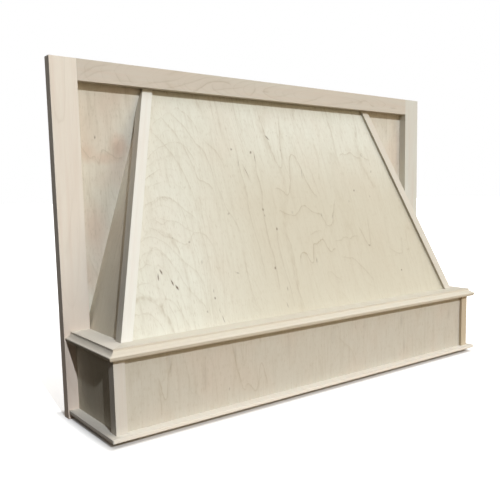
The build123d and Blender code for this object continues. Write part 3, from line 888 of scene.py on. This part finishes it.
def screw_mesh(length):
    """A pan-head screw along -Z in metres: domed head with a square socket, thread and tip."""
    mesh = bpy.data.meshes.new("screw")
    shape = bmesh.new()

    def rim(radius, height, square=False):
        points = []
        for k in range(AROUND):
            across, along = cos(2 * pi * k / AROUND), sin(2 * pi * k / AROUND)
            reach = radius / max(abs(across), abs(along)) if square else radius
            points.append(shape.verts.new((reach * across, reach * along, height)))
        return points

    rims = [rim(radius, height) for radius, height in HEAD_RIMS]
    rims += [rim(SOCKET_HALF, HEAD_TOP - depth, square=True) for depth in (0, SOCKET_DEPTH)]
    rims = [rim(ROOT, POINT - length), rim(ROOT, 0.0)] + rims
    for lower, upper in zip(rims, rims[1:]):
        for k in range(AROUND):
            after = (k + 1) % AROUND
            shape.faces.new((lower[k], lower[after], upper[after], upper[k]))
    shape.faces.new(rims[-1])
    tip = shape.verts.new((0, 0, -length))
    for k in range(AROUND):
        shape.faces.new((rims[0][(k + 1) % AROUND], rims[0][k], tip))
    steps = int((length - POINT - BARE) / PITCH * TURN)
    sunk, ridge = ROOT - 0.1, []
    for k in range(steps + 1):
        out = Vector((cos(2 * pi * k / TURN), sin(2 * pi * k / TURN), 0))
        height = -BARE - PITCH * k / TURN
        crest = CREST if 2 < k < steps - 2 else ROOT
        ridge.append([shape.verts.new(out * reach + UP * (height + rise)) for reach, rise in (
            (sunk, FOOT), (crest, 0.0), (sunk, -FOOT))])
    for a, b in zip(ridge, ridge[1:]):
        for i, j in ((0, 1), (1, 2), (2, 0)):
            shape.faces.new((a[i], b[i], b[j], a[j]))
    shape.faces.new(ridge[0])
    shape.faces.new(ridge[-1][::-1])
    bmesh.ops.scale(shape, vec=(MM, MM, MM), verts=shape.verts)
    bmesh.ops.recalc_face_normals(shape, faces=shape.faces)
    shape.to_mesh(mesh)
    shape.free()
    return mesh


def seats_mesh(name, seats):
    """Points with the way each screw's head looks."""
    mesh = bpy.data.meshes.new(name)
    mesh.from_pydata([[part * MM for part in seat] for seat, _ in seats], [], [])
    looks = mesh.attributes.new("looks", "FLOAT_VECTOR", "POINT")
    for entry, (_, look) in zip(looks.data, seats):
        entry.vector = look
    return mesh


def screw_tree(material):
    """Geometry nodes: one screw on each point, turned to the point's direction."""
    tree = bpy.data.node_groups.new("screws on seats", "GeometryNodeTree")
    for name, kind in (("Seats", "Geometry"), ("Screw", "Object"), ("Seed", "Int")):
        tree.interface.new_socket(name, in_out="INPUT", socket_type=f"NodeSocket{kind}")
    tree.interface.new_socket("Screws", in_out="OUTPUT", socket_type="NodeSocketGeometry")
    given = add(tree, "NodeGroupInput")
    source = add(tree, "GeometryNodeObjectInfo", {"Object": given.outputs["Screw"]})
    looks = add(tree, "GeometryNodeInputNamedAttribute", {"Name": "looks"}, data_type="FLOAT_VECTOR")
    spin = add(tree, "FunctionNodeRandomValue", {
        "Min": 0.0, "Max": 2 * pi, "Seed": given.outputs["Seed"]}, data_type="FLOAT")
    turn = add(tree, "ShaderNodeCombineXYZ", {"Z": spin.outputs[1]})
    aim = add(tree, "FunctionNodeAlignRotationToVector", {
        "Rotation": turn, "Vector": looks.outputs["Attribute"]}, axis="Z")
    placed = add(tree, "GeometryNodeInstanceOnPoints", {
        "Points": given.outputs["Seats"], "Instance": source.outputs["Geometry"],
        "Rotation": aim})
    real = add(tree, "GeometryNodeRealizeInstances", {"Geometry": placed})
    plated = add(tree, "GeometryNodeSetMaterial", {"Geometry": real, "Material": material})
    add(tree, "NodeGroupOutput", (plated,))
    return tree


def place_screws(name, node, seats, length, tree, seed):
    """Screws on their seats, as one plain mesh that stands for the CAD node."""
    pattern = bpy.data.objects.new(name + "_pattern", screw_mesh(length))
    holder = bpy.data.objects.new(name + "_seats", seats_mesh(name, seats))
    for thing in (pattern, holder):
        bpy.context.scene.collection.objects.link(thing)
    modifier = holder.modifiers.new("screws", "NODES")
    modifier.node_group = tree
    inputs = {i.name: i.identifier for i in tree.interface.items_tree if i.in_out == "INPUT"}
    modifier[inputs["Screw"]] = pattern
    modifier[inputs["Seed"]] = seed
    bpy.context.view_layer.update()
    made = holder.evaluated_get(bpy.context.evaluated_depsgraph_get())
    screws = bpy.data.objects.new(name, bpy.data.meshes.new_from_object(made))
    bpy.context.scene.collection.objects.link(screws)
    for thing in (holder, pattern):
        bpy.data.objects.remove(thing)
    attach(screws, "root")
    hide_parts(node)


class HOOD_OT_screws(bpy.types.Operator):
    """Place the screws on their seats at the back"""
    bl_idname = "hood.screws"
    bl_label = "Screws"

    def execute(self, context):
        tree = screw_tree(zinc_plate("zinc-plated steel"))
        back = 9.525  # the frame's back
        nailer_back = back + 19.05
        stile_inset, rail_end, pocket_run, pocket_lean = 431.8, 411.7, 15, radians(15)
        stile = [((sign * stile_inset, back, height), BACK)
                 for side, sign in SIDES for height in (-564.25, -503.9, -465.55)]
        nailer = [((place, nailer_back, -20.0), BACK) for place in (-230, -80, 80, 230)]
        pocket = [((sign * (rail_end - pocket_run * cos(pocket_lean)),
                    pocket_run * sin(pocket_lean), height),
                   (-sign * cos(pocket_lean), sin(pocket_lean), 0))
                  for side, sign in SIDES for height in (-9, -27)]
        groups = (("stile", stile, 50), ("nailer", nailer, 32), ("rail_pocket", pocket, 32))
        for seed, (group, seats, length) in enumerate(groups):
            place_screws(f"{group}_pan_screws", f"{group}_screws", seats, length, tree, seed)
        return {"FINISHED"}


# ------------------------------------ the stage
def floor_material():
    """Matt white painted board that keeps the shadow: it looks white, and it glows a little to do
    so, but not under the object, and the glow fades in over the 12 mm round its footprint, which
    paints a grey shade round the object's foot on top of the real shadow; it is clear from below.
    The light that it throws back is that of a warm card before the object and of dark cloth to its left."""
    low, high = Vector(cad_box[0]), Vector(cad_box[1])
    material, tree = new_material("matt white board")
    place = add(tree, "ShaderNodeTexCoord").outputs["Object"]
    centred = add(tree, "ShaderNodeVectorMath", (place, (low + high) / 2),
                  operation="SUBTRACT")
    from_middle = add(tree, "ShaderNodeVectorMath", (centred,), operation="ABSOLUTE")
    beyond = add(tree, "ShaderNodeVectorMath", (from_middle, (high - low) / 2),
                 operation="SUBTRACT")
    sides = add(tree, "ShaderNodeSeparateXYZ", (beyond,))
    outside = add(tree, "ShaderNodeMath", (sides.outputs[0], sides.outputs[1]),
                  operation="MAXIMUM")
    # painted shade: the glow is cut under the object and rises to full only 12 mm outside its footprint,
    # leaving a grey band round its foot
    strength = add(tree, "ShaderNodeMapRange", (outside, -0.008, 0.012, 0.0, 0.7))
    pale = add(tree, "ShaderNodeBsdfDiffuse", (linear("#F2F1EE"),))
    glow = add(tree, "ShaderNodeEmission", (linear("#FFFFFF"), strength))
    shown = add(tree, "ShaderNodeAddShader", (pale, glow))
    across = add(tree, "ShaderNodeSeparateXYZ", (place,))
    card = add(tree, "ShaderNodeMapRange", (across, -0.5, -0.4))
    thrown = layered(tree, linear("#3A352C"), ((linear("#A89377"), card, 1.0),))
    dull = add(tree, "ShaderNodeBsdfDiffuse", (thrown,))
    seen = add(tree, "ShaderNodeLightPath").outputs["Is Camera Ray"]
    both = add(tree, "ShaderNodeMixShader", (seen, dull, shown))
    below = add(tree, "ShaderNodeNewGeometry").outputs["Backfacing"]
    clear = add(tree, "ShaderNodeBsdfTransparent")
    surface = add(tree, "ShaderNodeMixShader", (below, both, clear))
    add(tree, "ShaderNodeOutputMaterial", (surface,))
    return material


def light_world(colour, fill):
    """White behind the object, and an even fill light on it."""
    world = bpy.data.worlds.new("white surround")
    world.use_nodes = True
    tree = world.node_tree
    tree.nodes.clear()
    seen = add(tree, "ShaderNodeLightPath").outputs["Is Camera Ray"]
    white = add(tree, "ShaderNodeBackground", (linear("#FFFFFF"), 1.0))
    even = add(tree, "ShaderNodeBackground", (colour, fill))
    both = add(tree, "ShaderNodeMixShader", (seen, even, white))
    add(tree, "ShaderNodeOutputWorld", (both,))
    bpy.context.scene.world = world


def place_camera(stage):
    """The camera where the photograph was taken from."""
    ahead = Vector((cos(stage.rise) * sin(stage.heading), cos(stage.rise) * cos(stage.heading),
                    sin(stage.rise)))
    level = ahead.cross(UP).normalized()
    upright = level.cross(ahead)
    right = cos(stage.roll) * level + sin(stage.roll) * upright
    top = -sin(stage.roll) * level + cos(stage.roll) * upright
    turn = Matrix((right, top, -ahead)).transposed().to_4x4()
    data = bpy.data.cameras.new("camera")
    data.sensor_fit = "HORIZONTAL"
    data.lens = stage.focus * data.sensor_width
    data.shift_x = 0.5 - stage.centre[0]
    data.shift_y = stage.centre[1] - 0.5
    camera = bpy.data.objects.new("camera", data)
    camera.matrix_world = Matrix.Translation(stage.eye) @ turn
    bpy.context.scene.collection.objects.link(camera)
    bpy.context.scene.camera = camera


FLOOR_HALF = 30  # metres


class HOOD_OT_stage(bpy.types.Operator):
    """Set the floor, the lights and the camera"""
    bl_idname = "hood.stage"
    bl_label = "Stage"

    def execute(self, context):
        stage = settings().stage
        scene = context.scene
        scene.view_settings.view_transform = "Standard"
        height = cad_box[0][2] - stage.floor_drop
        mesh = bpy.data.meshes.new("floor")
        corners = [(x * FLOOR_HALF, y * FLOOR_HALF, height)
                   for x, y in ((-1, -1), (1, -1), (1, 1), (-1, 1))]
        mesh.from_pydata(corners, [], [(0, 1, 2, 3)])
        mesh.materials.append(floor_material())
        floor = bpy.data.objects.new("floor", mesh)
        scene.collection.objects.link(floor)
        for name, *_ in LAMPS:
            light = bpy.data.lights.new(name, "SUN")
            light.color = getattr(stage, f"{name}_colour")
            light.energy = getattr(stage, f"{name}_strength")
            light.angle = getattr(stage, f"{name}_width")
            lamp = bpy.data.objects.new(name, light)
            way = Vector(getattr(stage, f"{name}_way"))
            lamp.rotation_euler = way.to_track_quat("-Z", "Y").to_euler()
            scene.collection.objects.link(lamp)
        light_world(stage.fill_colour, stage.fill)
        place_camera(stage)
        return {"FINISHED"}


class HOOD_PT_panel(bpy.types.Panel):
    """All the steps and what they read"""
    bl_idname = "HOOD_PT_panel"
    bl_label = "Hood cover"
    bl_space_type = "VIEW_3D"
    bl_region_type = "UI"
    bl_category = "Hood Cover"

    def draw(self, context):
        for step in STEPS:
            self.layout.operator(step.bl_idname)
        held = context.scene.hood_cover
        for group in (held.colours, held.grain, held.slopes, held.stage):
            box = self.layout.box()
            for name in group.bl_rna.properties.keys():
                if name not in ("rna_type", "name"):
                    box.prop(group, name)


GROUPS = (HoodColours, HoodGrain, HoodSlopes, HoodStage, HoodSettings)
STEPS = (HOOD_OT_frame, HOOD_OT_recess_panels, HOOD_OT_panels, HOOD_OT_corner_strips,
         HOOD_OT_mantle, HOOD_OT_apron, HOOD_OT_ledge, HOOD_OT_cleats, HOOD_OT_screws,
         HOOD_OT_stage)
CLASSES = GROUPS + STEPS + (HOOD_PT_panel,)


def register():
    """Register the classes and hang the settings on the scene."""
    for one in CLASSES:
        bpy.utils.register_class(one)
    bpy.types.Scene.hood_cover = bpy.props.PointerProperty(type=HoodSettings)


def unregister():
    """Take it all off again."""
    del bpy.types.Scene.hood_cover
    for one in reversed(CLASSES):
        bpy.utils.unregister_class(one)


def main():
    """Run every step in order."""
    register()
    for step in STEPS:
        group, name = step.bl_idname.split(".")
        getattr(getattr(bpy.ops, group), name)()


if __name__ == "__main__":
    main()
